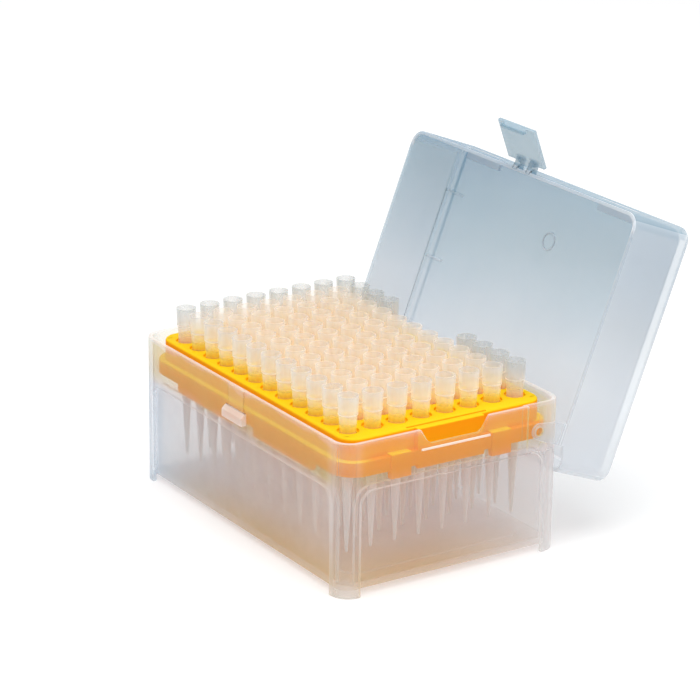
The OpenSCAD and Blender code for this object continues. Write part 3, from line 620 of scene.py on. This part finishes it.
def trayOutline(tray):
    # A rounded rectangle: each quarter has an arc, where place = arc's centre + corner * (cos, sin of the
    # angle), and then a straight side. Gives each point's x and y and the way outwards there.
    (halfX, halfY), corner = tray["half"], tray["corner"]
    edges = lambda *places: np.array([sign * place + shift * tray["ease"]
                                      for place in places for sign in (-1, 1) for shift in tray["easeAt"]])
    xs = np.concatenate((fieldSpots(tray, tray["columns"]), edges(tray["footFrom"], tray["footTo"])))
    shortEdges = edges(tray["tabFrom"], tray["tabTo"], tray["grip"], tray["groove"])
    ys = np.concatenate((fieldSpots(tray, tray["rows"]), shortEdges))
    xs, ys = np.unique(xs), np.unique(ys)
    xs, ys = xs[np.abs(xs) <= halfX - corner], ys[np.abs(ys) <= halfY - corner]
    arc = np.linspace(0, np.pi / 2, tray["arcPoints"])
    parts = []
    for quarter, (signX, signY) in enumerate(((1, 1), (-1, 1), (-1, -1), (1, -1))):
        cos, sin = np.cos(arc + quarter * np.pi / 2), np.sin(arc + quarter * np.pi / 2)
        centreX, centreY = signX * (halfX - corner), signY * (halfY - corner)
        parts.append((centreX + corner * cos, centreY + corner * sin, cos, sin))
        run = (xs, ys)[quarter % 2][::1 if quarter > 1 else -1]
        nought, one = np.zeros(len(run)), np.ones(len(run))
        if quarter % 2 == 0:
            parts.append((run, signY * halfY * one, nought, signY * one))
        else:
            parts.append((signX * halfX * one, run, signX * one, nought))
    return [np.concatenate(values) for values in zip(*parts)]

def upperSection(tray, groove, grip):
    # The deck's edge as offsets and heights:
    # plain + (grooved - plain) * groove + (gripped - grooved) * grip * groove.
    ellipse = [(-tray["roundIn"] * (1 - math.sin(angle)), -tray["roundDown"] * (1 - math.cos(angle)))
               for angle in np.radians(tray["roundAt"])]
    foot = -tray["bandAt"] + tray["aboveBand"]
    plain = tray["deckRows"] + ellipse + [(0, tray["sideMiddle"]), (0, foot)]
    grooved = tray["grooveRows"] + ellipse[1:] + plain[-2:]
    gripEdge = around(tray["gripOut"], 0, tray["gripLip"])
    shared = tray["grooveRows"][:tray["sharedRows"]]
    gripped = shared + tray["gripRows"] + gripEdge + [(tray["gripOut"], foot)]
    plain, grooved, gripped = (np.array(rows)[:, :, None] for rows in (plain, grooved, gripped))
    return plain + (grooved - plain) * groove + (gripped - grooved) * grip * groove

def trayBorder(tray):
    # At each point of the outline a cross-section of offsets and heights is laid along the way outwards:
    # x = outline x + offset * outwards x, and y in the same way.
    x, y, outX, outY = trayOutline(tray)
    (halfX, halfY), corner, ease = tray["half"], tray["corner"], tray["ease"]
    onLong, onShort = np.abs(outY) > tray["straight"], np.abs(outX) > tray["straight"]
    grip = onShort * between(y, -tray["grip"], tray["grip"], ease)
    groove = onShort * between(y, -tray["groove"], tray["groove"], ease)
    tab = onShort * between(np.abs(y), tray["tabFrom"], tray["tabTo"], ease)
    foot = onLong * between(np.abs(x), tray["footFrom"], tray["footTo"], ease)
    skirt = tray["skirt"]
    low = -(skirt + (tray["foot"] - skirt) * np.maximum(tab, foot) + (tray["strip"] - skirt) * grip)
    bandOut, bandTop = tray["band"] + tray["tabOut"] * tab, -tray["bandAt"] + tray["tabUp"] * tab
    inner, under = tray["band"] - tray["wall"], -tray["bandAt"] - tray["plate"]
    upper = upperSection(tray, groove, grip)
    upper[-1, 1] += tray["tabUp"] * tab
    lower = ([(tray["bandIn"] + tray["gripOut"] * grip, bandTop)] + around(bandOut, bandTop, tray["bandTop"])
             + [(bandOut, tray["bandMiddle"])] + around(bandOut, low, tray["bandFoot"])
             + around(inner, low, tray["innerFoot"]) + [(inner, under), (tray["underIn"], under)]
             + [(tray["underIn"], -tray["plate"])])
    lower = np.array([np.broadcast_arrays(offset, height, x)[:2] for offset, height in lower])
    # The rows stop short of the field: the room for them is the way in from the outline to the field's edge.
    fieldX, fieldY = tray["columns"] * tray["pitch"] / 2, tray["rows"] * tray["pitch"] / 2
    with np.errstate(divide="ignore"):
        alongX, alongY = (fieldX - halfX + corner) / np.abs(outX), (fieldY - halfY + corner) / np.abs(outY)
    room = corner - np.minimum(alongX, alongY)
    share = 1 - tray["apart"] * np.arange(1, len(upper) + 1)
    upper[:, 0] = np.maximum(upper[:, 0], -room[None, :] * share[:, None])
    section = np.concatenate((upper, lower))
    points = np.empty((len(section) + 2, len(x), 3))
    points[1:-1, :, 0] = x + section[:, 0] * outX
    points[1:-1, :, 1] = y + section[:, 0] * outY
    points[1:-1, :, 2] = tray["top"] + section[:, 1]
    # The first and the last row lie on the field's own points, on top of the deck and beneath it.
    nearest = lambda value, spots: spots[np.abs(value[:, None] - spots[None, :]).argmin(axis=1)]
    points[[0, -1], :, 0] = nearest(np.clip(x, -fieldX, fieldX), fieldSpots(tray, tray["columns"]))
    points[[0, -1], :, 1] = nearest(np.clip(y, -fieldY, fieldY), fieldSpots(tray, tray["rows"]))
    points[0, :, 2], points[-1, :, 2] = tray["top"], tray["top"] - tray["plate"]
    return points, gridFaces(np.arange(points[..., 0].size).reshape(points.shape[:2]))[:, ::-1]

def makeTray(tray):
    sockets, socketFaces = socketField(tray)
    border, borderFaces = trayBorder(tray)
    points = np.concatenate((sockets.reshape(-1, 3), border.reshape(-1, 3)))
    faces = np.concatenate((socketFaces.reshape(-1, 4), borderFaces.reshape(-1, 4) + sockets[..., 0].size))
    mesh = fillMesh("yellowTipTray", points, faces, True)
    mesh.set_sharp_from_angle(angle=math.radians(tray["sharp"]))
    finishPiece(newPiece("yellowTipTray", mesh), "tip_tray", "base", "yellow_tray")

makeTray(tipTray)
print("tray is made")


filterTip = {
    "length": 51.8, "mouth": 3.3, "neck": 2.6, "stem": 2.32, "end": 0.45, "bore": 0.22, "wall": 0.42,
    "shoulder": 35.3, "deck": 40.3, "ring": 45.5, "ringOut": 0.22,
    "sides": 40, "columns": 12, "missing": {"h": [4, 5, 6, 7]},
    # How the outside goes near each of these, as steps outwards and upwards, from the inner lip to the end.
    "lipShape": [(0.02, -0.16), (0.07, -0.05), (0.16, 0)],
    "collarShape": [(-0.12, 0), (-0.04, -0.04), (0, -0.14), (0, -0.5), (-0.03, -1.1), (-0.07, -2.2),
                    (-0.12, -3.6), (-0.18, -4.9)],
    "ringShape": [(-0.03, 0.75), (0, 0.55), (0, 0.2), (-0.066, 0.04)],
    "ringFoot": [(0.02, -0.02), (-0.015, -0.25)], "neckTop": [(0.02, 0.5), (0, 0)],
    "neckFoot": [(0, 0.12), (-0.04, 0.02)], "stemTop": [(0.03, 0), (-0.01, -0.1)],
    "taperAt": 0.6, "endShape": [(0.02, 0.3), (-0.02, 0.05), (-0.08, 0)],
    "boreShape": [(0.03, 0), (0, 0.08)], "lipFoot": 0.4,
    # Fine upright ribs round the collar, from a little above the ring to a little below the mouth.
    "ribs": 10, "ribOut": 0.07, "ribLow": 0.8, "ribHigh": 0.9, "ribFade": 0.9,
    "plugTop": 29, "plugLength": 4.8, "plugGap": 0.03, "plugSides": 20, "plugWaist": 0.015,
    "plugEdge": [(-0.12, 0), (-0.02, -0.12)], "dishOut": 0.6, "topDish": (0.12, 0.06), "endDish": (0.1, 0.05),
    "sharp": 50,
}

def turnedSurface(name, profile, centres, sides, ribs=None):
    # Each point of the profile, a radius and a height, is carried round the upright line through each centre:
    # x = centre x + radius * cos(turn), y = centre y + radius * sin(turn), z = height.
    # Ribs add a little radius where cos(count * turn) is above nought, between two heights.
    profile, centres = np.array(profile, float), np.array(centres, float)
    turn = np.arange(sides) * 2 * np.pi / sides
    radius = np.repeat(profile[:, 0][:, None], sides, axis=1)
    if ribs:
        height, outside = profile[:, 1], np.arange(len(profile)) < ribs["rows"]
        band = np.clip(np.minimum(height - ribs["low"], ribs["high"] - height) / ribs["fade"], 0, 1) * outside
        radius = radius + ribs["out"] * band[:, None] * np.clip(np.cos(ribs["count"] * turn), 0, 1)[None, :]
    points = np.empty((len(centres), len(profile), sides, 3))
    points[..., 0] = centres[:, 0, None, None] + radius[None] * np.cos(turn)
    points[..., 1] = centres[:, 1, None, None] + radius[None] * np.sin(turn)
    points[..., 2] = centres[:, 2, None, None] + profile[:, 1][None, :, None]
    index = np.arange(points[..., 0].size).reshape(points.shape[:3])
    # A profile that starts away from the line closes on itself, and one that starts on it is joined there.
    closed = profile[0, 0] > 0
    if closed:
        index = np.concatenate((index, index[:, :1]), axis=1)
    mesh = fillMesh(name, points, gridFaces(index), not closed)
    mesh.set_sharp_from_angle(angle=math.radians(filterTip["sharp"]))
    return newPiece(name, mesh)

def tipProfile(tip):
    # From the inner lip over the mouth, down collar, ring, neck, shoulder and taper, round the end
    # and up inside.
    length, wall, ring, shoulder = tip["length"], tip["wall"], tip["ring"], tip["shoulder"]
    ringRadius = tip["neck"] + (tip["mouth"] - tip["neck"]) * (ring - tip["deck"]) / (length - tip["deck"])
    lip, taperAt = tip["mouth"] - wall, tip["taperAt"]
    outer = (around(lip, length, tip["lipShape"]) + around(tip["mouth"], length, tip["collarShape"])
             + around(ringRadius + tip["ringOut"], ring, tip["ringShape"])
             + around(ringRadius, ring, tip["ringFoot"])
             + around(tip["neck"], tip["deck"], tip["neckTop"])
             + around(tip["neck"], shoulder, tip["neckFoot"])
             + around(tip["stem"], shoulder, tip["stemTop"])
             + [(tip["stem"] * taperAt + tip["end"] * (1 - taperAt), shoulder * taperAt)]
             + around(tip["end"], 0, tip["endShape"]))
    inner = (around(tip["bore"], 0, tip["boreShape"])
             + [(tip["stem"] - wall, shoulder), (tip["neck"] - wall, tip["deck"])]
             + [(lip, length - tip["lipFoot"])])
    return outer, inner

def plugProfile(tip):
    # Follows the taper inside the tip a small gap away, with dished, rounded ends.
    low = tip["length"] - tip["plugTop"] - tip["plugLength"]
    high = low + tip["plugLength"]
    taper = (tip["stem"] - tip["wall"] - tip["bore"]) / tip["shoulder"]
    wide, narrow = (tip["bore"] + taper * height - tip["plugGap"] for height in (high, low))
    footEdge = [(out, -up) for out, up in reversed(tip["plugEdge"])]
    return ([(0, high - tip["topDish"][0]), (wide * tip["dishOut"], high - tip["topDish"][1])]
            + around(wide, high, tip["plugEdge"])
            + [((wide + narrow) / 2 - tip["plugWaist"], (high + low) / 2)]
            + around(narrow, low, footEdge)
            + [(narrow * tip["dishOut"], low + tip["endDish"][1]), (0, low + tip["endDish"][0])])

def tipCentres(tip, row):
    # A row's own box in the frame gives where its tips start; some rows lack a few.
    low, high = (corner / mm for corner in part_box("tip_row_" + row))
    along = np.linspace(low.x + tip["mouth"], high.x - tip["mouth"], tip["columns"])
    if row in tip["missing"]:
        along = np.delete(along, tip["missing"][row])
    return [(x, (low.y + high.y) / 2, low.z) for x in along]

def makeTips(tip, row):
    outer, inner = tipProfile(tip)
    ribs = {"count": tip["ribs"], "out": tip["ribOut"], "fade": tip["ribFade"], "rows": len(outer),
            "low": tip["ring"] + tip["ribLow"], "high": tip["length"] - tip["ribHigh"]}
    centres = tipCentres(tip, row)
    tips = turnedSurface("filterTips_" + row, outer + inner, centres, tip["sides"], ribs)
    finishPiece(tips, "tip_row_" + row, "base", "tip_plastic")
    plugs = turnedSurface("filterPlugs_" + row, plugProfile(tip), centres, tip["plugSides"])
    finishPiece(plugs, "filter_row_" + row, "base", "filter_fibre")

for row in "abcdefgh":
    makeTips(filterTip, row)
print("tips and filters are made")
